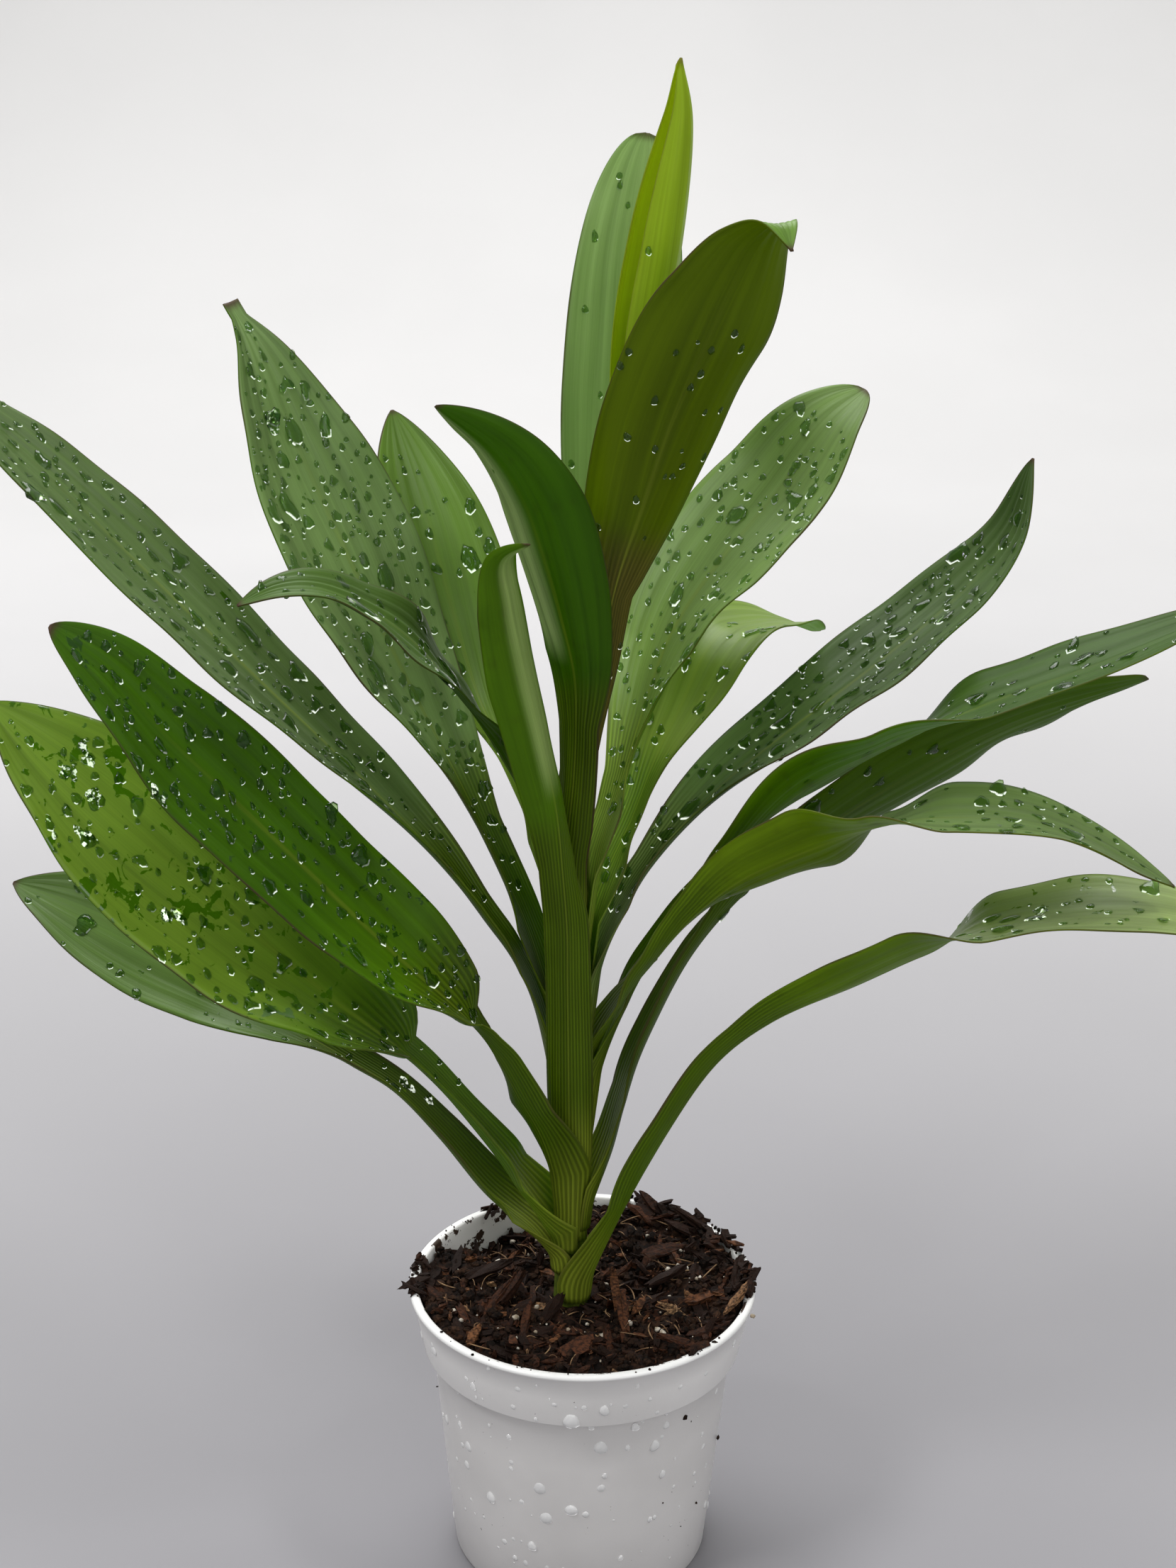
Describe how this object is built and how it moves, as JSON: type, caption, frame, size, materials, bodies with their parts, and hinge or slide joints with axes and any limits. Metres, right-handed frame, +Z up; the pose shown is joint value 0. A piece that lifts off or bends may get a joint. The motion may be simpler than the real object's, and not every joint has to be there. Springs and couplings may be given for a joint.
{
  "type": "potted cordyline",
  "caption": "Young cordyline house plant with long lance-shaped leaves around one short cane, growing in a plain white tapered pot of bark soil.",
  "frame": {"origin": "middle of the pot's flat foot, on the surface it stands on", "axes": "+Z up along the pot's axis, -Y towards the viewer of the picture, +X to that viewer's right"},
  "size_m": [0.4325, 0.1681, 0.5141],
  "materials": {
    "pot_white": "satin moulded plastic",
    "soil_brown": "damp, coarse and matt",
    "cane_green": "matt",
    "leaf_green": "satin, wet in places",
    "leaf_dark": "satin",
    "leaf_young": "satin"
  },
  "bodies": {
    "root": {"pot": "pot_white", "soil": "soil_brown", "cane": "cane_green", "leaf_low_right": "leaf_green", "leaf_low_left": "leaf_green", "leaf_left_under": "leaf_green", "leaf_right_under": "leaf_green", "leaf_left_broad": "leaf_green", "leaf_front": "leaf_green", "leaf_right_long": "leaf_green", "leaf_left_long": "leaf_green", "leaf_right_twisted": "leaf_green", "leaf_back_left": "leaf_green", "leaf_right_broad": "leaf_green", "leaf_left_small": "leaf_green", "leaf_back_right": "leaf_green", "leaf_back": "leaf_green", "leaf_upper_right": "leaf_green", "leaf_upper_left": "leaf_green", "leaf_top_back": "leaf_green", "leaf_top_front": "leaf_dark", "spear": "leaf_young"}
  },
  "joints": []
}
